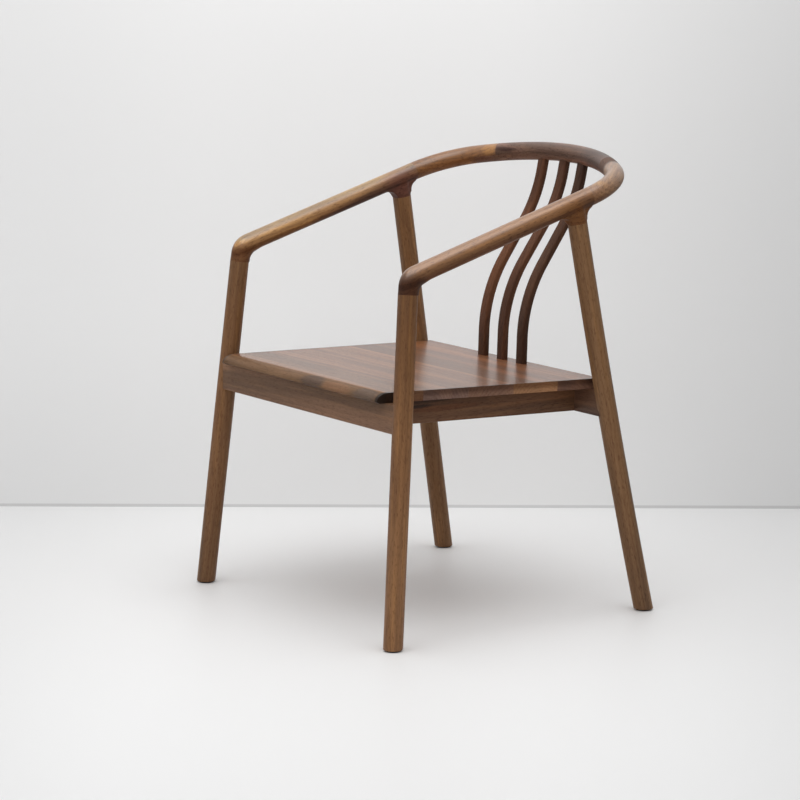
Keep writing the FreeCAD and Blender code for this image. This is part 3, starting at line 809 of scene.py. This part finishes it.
def makeArm(look):
    tube = makeTube()
    neck = makeNeck(look)
    web = makeThroat(look)
    piece = weld((web, neck, tube), look["voxel"])
    socketMiddle = postPoint - rearUp * look["socketDrop"]
    soften(piece, socketMiddle, look)
    trueUp(piece, socketMiddle, look)
    only(piece)
    bpy.ops.object.mode_set(mode="EDIT")
    for point, outward in ((frontJoint, -frontUp), (rearJoint, -rearUp), (armEnd, alongRail)):
        pick(piece, "VERT", lambda vertex, middle: (middle - point).length < look["cutReach"])
        bpy.ops.mesh.select_mode(type="FACE")
        bpy.ops.mesh.bisect(plane_co=tuple(point), plane_no=tuple(outward), use_fill=True, clear_outer=True)
    fresh()
    return piece


polish = (railMiddle, upRail, -0.004, 0.012, 1.0)
handled = {"fleck": 0.6, "shine": 0.15, "coat": polish}
# painted light on the rail: the top lighter as a painted highlight, the underside darker as painted shade,
# its very bottom lighter and bluer as painted bounce from the floor
armPaintedLight = (
    (railMiddle, upRail, -0.004, 0.012, (1.42, 1.44, 1.22)),
    (railMiddle, -upRail, -0.001, 0.010, (0.58, 0.48, 0.40)),
    (railMiddle, -upRail, 0.009, 0.015, (1.45, 1.70, 2.2)),
)
# centres of painted shade, partly the wood's darker tone: under the elbow's bend, and in the hollow throat
# under the rear socket
stubShadePoint = frontJoint + frontUp * 0.012
socketShadePoint = postPoint - rearUp * 0.024
armLeft = makeArm(arm)
armRight = twin(armLeft, "armRight")
armStart = onRail(rail["armHalf"], -0.27)
armStop = onRail(rail["armHalf"], 0.15)
fit(armLeft, "arm_left", wood("armWoodLeft", armStart, armStop, {
    "tones": ("946540", "775337", "b47e4d"), "heart": (0.02, -0.10), "slide": 0.2,
    **handled, "washes": armPaintedLight,
    "patches": (
        # the stub and the socket's throat darker: the wood's tone with painted shade under the elbow and in
        # the hollow
        (stubShadePoint, (0.030, 0.034, 0.026), "3e2112", 0.85, 0.35),
        (socketShadePoint + upRail * 0.006, (0.034, 0.052, 0.030), "774d27", 0.85, 0.4),
        (onRail(0.285, 0.148, -0.006), (0.022, 0.034, 0.014), "5f3f2a", 0.75, 0.5),
    ),
}))
underPoints = [onRail(rail["armHalf"], along) - upRail * 0.014 for along in (-0.07, -0.028, 0.012, 0.05)]
underside = tuple((point * mirrored, (0.030, 0.034, 0.026), "8e6848", 0.85, 0.6) for point in underPoints)
fit(armRight, "arm_right", wood("armWoodRight", armStart * mirrored, armStop * mirrored, {
    "tones": ("c2925b", "9a724a", "ecb46f"), "heart": (0.05, -0.08), "slide": 1.9,
    **handled,
    "washes": armPaintedLight + (
        # the very top greyer and darker, narrowing the painted highlight; darker towards the back on the
        # lower side
        (railMiddle, upRail, 0.008, 0.014, (0.66, 0.76, 0.95)),
        (railMiddle, alongRail * 0.12 - upRail, -0.008, 0.008, (0.45, 0.43, 0.56)),
    ),
    "patches": (
        # the stub and the socket's throat darker: the wood's tone with painted shade under the elbow and in
        # the hollow
        (stubShadePoint * mirrored, (0.030, 0.032, 0.022), "694025", 0.75, 0.35),
        (socketShadePoint * mirrored + upRail * 0.008, (0.036, 0.052, 0.034), "986247", 0.85, 0.4),
        *underside,
    ),
}))
print("arms made")


# Bends: a sixth of a ring, with the upper half of its end running on over the crest

discArea = math.pi * rail["radius"] ** 2
offPlane = 0.001    # metres above or under the rail's plane that tell the halves of an end apart


def halve():  # splits the selected end face along the rail's own plane
    bpy.ops.mesh.bisect(plane_co=tuple(crestCentre), plane_no=tuple(upRail))


def makeBend():
    bend = Sweep("bendLeft", armEnd, alongRail, rail["radius"])
    bend.spin(bendCentre, upRail, bendTurn, rail["bendSteps"])
    halve()
    tongue = bend.centre

    def upperCap(face, middle):
        away = middle - tongue
        upper = away.length < rail["radius"] and away.dot(upRail) > offPlane
        return upper and face.calc_area() > discArea / 3
    pick(bend.piece, "FACE", upperCap)
    bend.spin(crestCentre, upRail, lapTurn, rail["lapSteps"])
    fresh()
    return bend.piece


bendLeft = makeBend()
bendRight = twin(bendLeft, "bendRight")
bendEnd = onCrest(bendTurn + lapTurn)
fit(bendLeft, "bend_left", wood("bendWoodLeft", armEnd, bendEnd, {
    "tones": ("a98866", "8e6d53", "cca373"), "heart": (0.05, -0.06), "slide": 0.6,
    **handled, "dull": ((onCrest(66), (0.032, 0.032, 0.032)),), "washes": armPaintedLight[1:],
    "patches": (
        (onRail(0.285, 0.145, -0.006), (0.022, 0.034, 0.014), "5f3f2a", 0.75, 0.5),
        (armEnd, (0.030, 0.042, 0.030), "8a6040", 0.6, 0.5),
        (onRail(0.274, 0.178, 0.008), (0.013, 0.016, 0.010), "b98a4a", 0.6, 0.3),
        (onCrest(65.5), (0.034, 0.034, 0.034), "5d4439", 0.95, 0.15),
    ),
}))
fit(bendRight, "bend_right", wood("bendWoodRight", armEnd * mirrored, bendEnd * mirrored, {
    "tones": ("855732", "6a4428", "a6703e"), "heart": (-0.04, -0.07), "slide": 2.6,
    **handled,
    "washes": (
        # painted light: the top lighter and warmer as a painted highlight, the underside lighter and bluer
        # as painted bounce from the floor
        (railMiddle, upRail, -0.004, 0.012, (1.15, 1.18, 0.90)),
        (railMiddle, -upRail, 0.0, 0.013, (1.15, 1.20, 1.40)),
    ),
    "patches": (
        (onCrest(180 - 65.5) + upRail * 0.008, (0.016, 0.030, 0.012), "a5713c", 0.75, 0.3),
        (onCrest(180 - 62) - upRail * 0.010, (0.022, 0.030, 0.006), "4f3426", 0.6, 0.5),
    ),
}))
print("bends made")


# Crest: the ring's middle third, whose lower half runs on under both bends

def facingAt(degrees):
    return upRail.cross(onCrest(degrees) - crestCentre).normalized()


def makeCrest():
    radius = rail["radius"]
    first, last = bendTurn + lapTurn, 180 - bendTurn - lapTurn
    crest = Sweep("crestRail", onCrest(first), facingAt(first), radius)
    crest.spin(crestCentre, upRail, last - first, rail["crestSteps"])
    for degrees, way in ((first, -1), (last, 1)):
        point = onCrest(degrees)

        def endCap(face, middle):
            return (middle - point).length < radius and face.calc_area() > discArea * 2 / 3
        pick(crest.piece, "FACE", endCap)
        halve()

        def lowerCap(face, middle):
            away = middle - point
            inPlane = abs(away.dot(facingAt(degrees))) < offPlane / 2
            lower = away.length < radius and away.dot(upRail) < -offPlane
            return inPlane and lower and face.calc_area() > discArea / 3
        pick(crest.piece, "FACE", lowerCap)
        crest.spin(crestCentre, upRail, way * lapTurn, rail["lapSteps"])
    fresh()
    return crest.piece


crestRail = makeCrest()
fit(crestRail, "crest_rail", wood("crestWood", onCrest(120), onCrest(60), {
    "tones": ("6f5143", "574034", "8a6750"), "heart": (0.03, -0.08), "slide": 0.9,
    **handled, "coat": (railMiddle, upRail, 0.003, 0.016, 0.5),
    "washes": (
        # the top lighter as a painted highlight, darker towards +x, the underside lighter as painted bounce
        # from the floor
        (railMiddle, upRail, 0.0, 0.014, (1.28, 1.28, 1.28)),
        ((0, 0, 0), (1, 0, 0), 0.05, 0.12, (0.68, 0.70, 0.74)),
        (railMiddle, -upRail, -0.004, 0.005, (1.8, 1.68, 1.55)),
    ),
    "patches": (
        (onCrest(110) + upRail * 0.006, (0.030, 0.030, 0.0042), "33190f", 0.9, 0.4),
        (onCrest(117.5) - upRail * 0.011, (0.032, 0.030, 0.009), "4f3323", 0.8, 0.5),
    ),
}))
print("crest made")


# Setting out the seat: its own frame starts at the front edge and falls a little towards the back

seat = {
    "front": Vector((0, -0.2952, 0.4408)),
    "slope": 1.8,
    "depth": 0.4740,
    "frontHalf": 0.2590,
    "backHalf": 0.2710,
    "thickness": 0.018,
    "noseRun": 0.025,
    "noseDrop": 0.0152,
    "noseCut": 0.005,
    "noseSteps": 14,
    "boards": 5,
    "smoothUnder": 30,
}
seatTurn = Matrix.Rotation(-math.radians(seat["slope"]), 4, "X")
seatFrame = Matrix.Translation(seat["front"]) @ seatTurn
upSeat = (seatFrame.to_3x3() @ Vector((0, 0, 1))).normalized()


def onSeat(across, along, up=0):
    return seatFrame @ Vector((across, along, up))


# Back slats: a rounded flat stick that stands, leans back and straightens again

slats = {
    "width": 0.022,
    "thickness": 0.012,
    "round": 0.003,
    "spacing": 0.0606,
    "setback": 0.0232,
    "footLean": 2,
    "headLean": 12,
    "footShare": 0.127,
    "headShare": 0.075,
    "curveShare": 0.915,
    "headOffset": 0.003,
    "footHousing": 0.011,
    "headHousing": 0.009,
    "steps": 20,
    "roundSteps": 5,
}


def leaning(degrees):
    angle = math.radians(degrees)
    return Vector((0, math.sin(angle), math.cos(angle)))


def facingLean(degrees):
    angle = math.radians(degrees)
    return Vector((0, -math.cos(angle), math.sin(angle)))


def makeSlat(name, across, look):  # two like arcs with a straight between them, straight at both ends
    footLean, headLean = look["footLean"], look["headLean"]
    seatPoint = onSeat(across, seat["depth"] - look["setback"])
    along = crestCentreAlong + math.sqrt(rail["crestRadius"] ** 2 - across ** 2)
    inset = rail["radius"] - look["headHousing"]
    top = onRail(across, along) - Vector((0, look["headOffset"], inset))
    height = top.z - seatPoint.z
    low = seatPoint + leaning(footLean) * (look["footShare"] * height)
    out = top - leaning(headLean) * (look["headShare"] * height)
    chord = out - low
    fullest = chord.dot(chord) / (-2 * chord.dot(facingLean(footLean) + facingLean(headLean)))
    radius = look["curveShare"] * fullest
    lowCentre = low - facingLean(footLean) * radius
    highCentre = out + facingLean(headLean) * radius
    between = highCentre - lowCentre
    lean = math.degrees(math.atan2(between.y, between.z) + math.asin(2 * radius / between.length))
    rise = lowCentre + facingLean(lean) * radius
    high = highCentre - facingLean(lean) * radius

    start = seatPoint - leaning(footLean) * look["footHousing"]
    slat = Sweep(name, start, leaning(footLean), flat=(look["width"], look["thickness"]))
    bpy.ops.mesh.bevel(offset=look["round"], segments=look["roundSteps"], affect="VERTICES")
    bpy.ops.mesh.select_all(action="SELECT")
    slat.pull(low - start)
    slat.spin(lowCentre, (1, 0, 0), footLean - lean, look["steps"])
    slat.pull(high - rise)
    slat.spin(highCentre, (1, 0, 0), lean - headLean, look["steps"])
    slat.pull(top - out)
    fresh()
    return slat.piece, seatPoint, top


slatLooks = {
    "Left": (slats["spacing"], {"tones": ("4f3424", "41291c", "63412b"), "slide": 0.3}),
    "Middle": (0, {"tones": ("583826", "472c1e", "6d472e"), "slide": 1.1}),
    "Right": (-slats["spacing"], {"tones": ("613d28", "4d301f", "784c30"), "slide": 2.4}),
}


def slatToneAndPaintedLight(low):  # lighter halfway up, partly the wood's tone and partly a painted highlight, darker again under the crest as painted shade
    up = (0, 0, 1)
    return ((low, up, 0.05, 0.20, (1.22, 1.22, 1.20)), (low, up, 0.24, 0.34, (0.74, 0.74, 0.78)))


for side, (across, look) in slatLooks.items():
    piece, low, high = makeSlat("slat" + side, across, slats)
    look = dict(look, shine=0.15, washes=slatToneAndPaintedLight(low))
    fit(piece, "back_slat_" + side.lower(), wood("slatWood" + side, low, high, look))
print("slats made")


# Seat: five boards side by side, the front one rounded over to a full nose

def seatHalf(along):
    return seat["frontHalf"] + (seat["backHalf"] - seat["frontHalf"]) * along / seat["depth"]


def layDown(board, middle):  # from level at the origin to its place in the seat's own frame
    board.rotation_euler = seatTurn.to_euler()
    board.location = seatFrame @ Vector(middle)
    bpy.ops.object.transform_apply(location=True, rotation=True, scale=True)


def roundNose(board, depth, look):  # a quarter oval: stretched, rounded and pressed back
    stretch = look["noseRun"] / look["noseDrop"]
    top = (0, 0, look["thickness"] / 2)
    front = hair - depth / 2
    bottom = hair - look["thickness"] / 2
    bpy.ops.mesh.select_all(action="SELECT")
    bpy.ops.transform.resize(value=(1, 1, stretch), center_override=top)

    def topEdge(edge, middle):
        return middle.y < front and middle.z > 0 and abs(middle.x) < nearMiddle
    pick(board, "EDGE", topEdge)
    bpy.ops.mesh.bevel(offset=look["noseRun"], segments=look["noseSteps"], affect="EDGES")
    bpy.ops.mesh.select_all(action="SELECT")
    bpy.ops.transform.resize(value=(1, 1, 1 / stretch), center_override=top)
    pick(board, "VERT", lambda vertex, middle: middle.y < front and middle.z < bottom)
    bpy.ops.transform.translate(value=(0, look["noseCut"], 0))


def makeBoard(name, index, look):
    fresh()
    depth = look["depth"] / look["boards"]
    near, far = index * depth, (index + 1) * depth
    bpy.ops.mesh.primitive_cube_add(size=1, scale=(2 * seatHalf(near), depth, look["thickness"]))
    board = bpy.context.object
    board.name = name
    bpy.ops.object.transform_apply(location=True, rotation=True, scale=True)
    bpy.ops.object.mode_set(mode="EDIT")
    pick(board, "FACE", lambda face, middle: middle.y > depth / 2 - hair)
    widen = seatHalf(far) / seatHalf(near)
    bpy.ops.transform.resize(value=(widen, 1, 1), center_override=(0, depth / 2, 0))
    if index == 0:
        roundNose(board, depth, look)
    bpy.ops.object.mode_set(mode="OBJECT")
    layDown(board, (0, (near + far) / 2, -look["thickness"] / 2))
    return board


boardLooks = {
    "front": {
        "tones": ("936747", "724e33", "bc8652"), "slide": 0.2, "heart": (0.03, -0.06),
        # the roll darker and greyer: painted shade where the nose turns down
        "washes": ((onSeat(0, 0.022), (0, -1, 0), 0.0, 0.006, (0.68, 0.82, 0.94)),),
        "patches": (
            (onSeat(0.123, 0.005, -0.010), (0.044, 0.012, 0.014), "a06c4a", 0.75, 0.12),
            (onSeat(0.045, 0.005, -0.010), (0.034, 0.016, 0.018), "5b4840", 0.6, 0.3),
            (onSeat(0.215, 0.005, -0.010), (0.034, 0.016, 0.018), "6f5a4e", 0.6, 0.3),
        ),
    },
    "second": {"tones": ("8e6041", "714b31", "b47c4b"), "slide": 1.4, "heart": (-0.05, -0.05)},
    "middle": {"tones": ("976745", "7a5034", "c18551"), "slide": 2.7, "heart": (0.06, -0.09)},
    "fourth": {"tones": ("8a5838", "6c462c", "b07543"), "slide": 3.3, "heart": (0.01, -0.05)},
    "back": {"tones": ("8f5c39", "6f462d", "b67842"), "slide": 4.1, "heart": (-0.03, -0.07)},
}
endTints = {"front": "6a4832", "second": "4b3a35", "middle": "4b362d", "fourth": "724f34", "back": "392924"}
farEndTint = "604a3c"
noseHalf = seatHalf(seat["depth"] / seat["boards"] / 2)
# the nose's end much darker than the boards' other ends: its end grain with painted shade
noseEndGrainAndShade = (onSeat(noseHalf, 0.012, -0.008), (0.010, 0.030, 0.030), "2a1d16", 0.9, 0.3)
polished = {"shine": 0.15, "gold": 0.10, "coatRough": 0.25, "coatIor": 1.55}
# the boards' lower edges lighter and bluer: painted light bounced up from the floor
paintedEdgeBounce = (onSeat(0, 0, -0.005), -upSeat, 0.0, 0.010, (2.0, 2.3, 2.6))


def seatWood(name, along, look):
    past = seatHalf(along) + 0.004
    ends = tuple(
        (onSeat(across, along, -0.009), (0.010, 0.2, 0.05), tint, 0.75, 0.3)
        for across, tint in ((past, endTints[name]), (-past, farEndTint))
    )
    if name == "front":
        ends += (noseEndGrainAndShade,)
    changes = {"washes": (paintedEdgeBounce,), **polished, **look}
    changes["coat"] = (onSeat(0, along, -0.0004), upSeat, 0.0, 0.0003, 0.75)
    changes["patches"] = look.get("patches", ()) + ends
    return wood("seatWood" + name.capitalize(), onSeat(-0.27, along), onSeat(0.27, along), changes)


for index, (name, look) in enumerate(boardLooks.items()):
    board = makeBoard("seatBoard" + name.capitalize(), index, seat)
    along = (index + 0.5) * seat["depth"] / seat["boards"]
    fit(board, "seat_board_" + name, seatWood(name, along, look), seat["smoothUnder"])
print("seat made")


# Aprons: boards on edge between the legs, their long edges eased

aprons = {
    "thickness": 0.018,
    "frontHeight": 0.051,
    "height": 0.048,
    "frontFace": 0.0165,
    "frontHalf": 0.2923,
    "rearHalf": 0.2974,
    "sideHalf": 0.2181,
    "ease": 0.0012,
    "shortBy": 0.005,    # how far short of its tenon's end a board stops, hidden in the leg
}


def makeApron(name, low, high, ease):  # low and high corners in the seat's own frame
    fresh()
    low, high = Vector(low), Vector(high)
    bpy.ops.mesh.primitive_cube_add(size=1, scale=tuple(high - low))
    board = bpy.context.object
    board.name = name
    bpy.ops.object.transform_apply(location=True, rotation=True, scale=True)
    bpy.ops.object.mode_set(mode="EDIT")
    along = 0 if high.x - low.x > high.y - low.y else 1
    pick(board, "EDGE", lambda edge, middle: abs(middle[along]) < nearMiddle)
    bpy.ops.mesh.bevel(offset=ease, segments=easeSteps, affect="EDGES")
    bpy.ops.object.mode_set(mode="OBJECT")
    layDown(board, (low + high) / 2)
    return board


under = -seat["thickness"]
frontUnder, restUnder = under - aprons["frontHeight"], under - aprons["height"]
frontFace, rearBack = aprons["frontFace"], seat["depth"]
frontBack, rearFace = frontFace + aprons["thickness"], rearBack - aprons["thickness"]
frontHalf = aprons["frontHalf"] - aprons["shortBy"]
rearHalf = aprons["rearHalf"] - aprons["shortBy"]
sideOut = aprons["sideHalf"]
sideIn = sideOut - aprons["thickness"]
boxes = {
    "front_apron": ((-frontHalf, frontFace, frontUnder), (frontHalf, frontBack, under)),
    "rear_apron": ((-rearHalf, rearFace, restUnder), (rearHalf, rearBack, under)),
    "side_apron_left": ((sideIn, frontBack, restUnder), (sideOut, rearFace, under)),
    "side_apron_right": ((-sideOut, frontBack, restUnder), (-sideIn, rearFace, under)),
}
apronLooks = {
    "front_apron": {"tones": ("86634a", "6b4f3a", "a17752"), "slide": 0.5, "heart": (0.04, 0.03)},
    "rear_apron": {"tones": ("6a4e3d", "4f3b2f", "886447"), "slide": 1.5, "heart": (-0.06, 0.05)},
    "side_apron_left": {
        "tones": ("745239", "583f2d", "926644"), "slide": 2.2, "heart": (0.05, 0.02),
        "patches": (
            ((0.218, -0.150, 0.410), (0.01, 0.052, 0.004), "33231a", 0.75, 0.5),
            ((0.218, -0.185, 0.401), (0.01, 0.034, 0.003), "2c1e16", 0.75, 0.5),
            ((0.218, -0.135, 0.394), (0.01, 0.075, 0.005), "7c4c2c", 0.5, 0.5),
        ),
    },
    "side_apron_right": {"tones": ("5b4031", "402e25", "76523a"), "slide": 3.1, "heart": (0.03, -0.04)},
}
for node, (low, high) in boxes.items():
    piece = makeApron("".join(word.capitalize() for word in node.split("_")), low, high, aprons["ease"])
    low, high = seatFrame @ Vector(low), seatFrame @ Vector(high)
    half = Vector((0, 0.25, 0)) if "side" in node else Vector((0.25, 0, 0))
    middle = (low + high) / 2
    material = wood("apronWood_" + node, middle - half, middle + half, apronLooks[node])
    fit(piece, node, material)
print("aprons made")


# Small pieces keep their solids: dowels, corner blocks, glides and screws

def dress(names, material):
    for name in names:
        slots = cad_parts[name].data.materials
        slots.clear()
        slots.append(material)


ends, sides = ("front", "rear"), ("left", "right")
blockWood = wood("blockWood", (-0.2, 0, 0.4), (0.2, 0, 0.4), {"tones": ("5f4635", "45332a", "7d5c41")})
dowelWood = wood("dowelWood", (0, 0, 0.74), (0, 0.2, 0.8), {"tones": ("8a6a4a", "6c5139", "9a7149")})
dress([f"{end}_corner_block_{side}" for end in ends for side in sides], blockWood)
dress(["arm_dowels", "lap_dowels"], dowelWood)

glide = {"colours": ("1d1b1a", "2a2725"), "speckle": 900, "rough": 0.55, "bump": (0.15, 0.0002)}
plastic = Finish("glidePlastic")
speckle = plastic.noise(plastic.place(), (glide["speckle"],) * 3, 2)
shade = plastic.mix(speckle, *[paintColour(code) for code in glide["colours"]])
strength, depth = glide["bump"]
bump = plastic.node("ShaderNodeBump", {}, {"Strength": strength, "Distance": depth, "Height": speckle})
inputs = {"Base Color": shade, "Roughness": glide["rough"], "Normal": bump}
glidePlastic = plastic.done(plastic.node("ShaderNodeBsdfPrincipled", {}, inputs))
dress([f"{end}_glide_{side}" for end in ends for side in sides], glidePlastic)

screw = {"colours": ("8f8a80", "6f6a62"), "scuff": 400, "rough": 0.32, "roughMore": 0.15}
steel = Finish("screwSteel")
scuff = steel.noise(steel.place(), (screw["scuff"],) * 3, 3)
shade = steel.mix(scuff, *[paintColour(code) for code in screw["colours"]])
inputs = {"Base Color": shade, "Metallic": 1.0, "Roughness": screw["rough"] + scuff * screw["roughMore"]}
screwSteel = steel.done(steel.node("ShaderNodeBsdfPrincipled", {}, inputs))
dress(["apron_screws", "seat_screws"], screwSteel)
print("small pieces dressed")
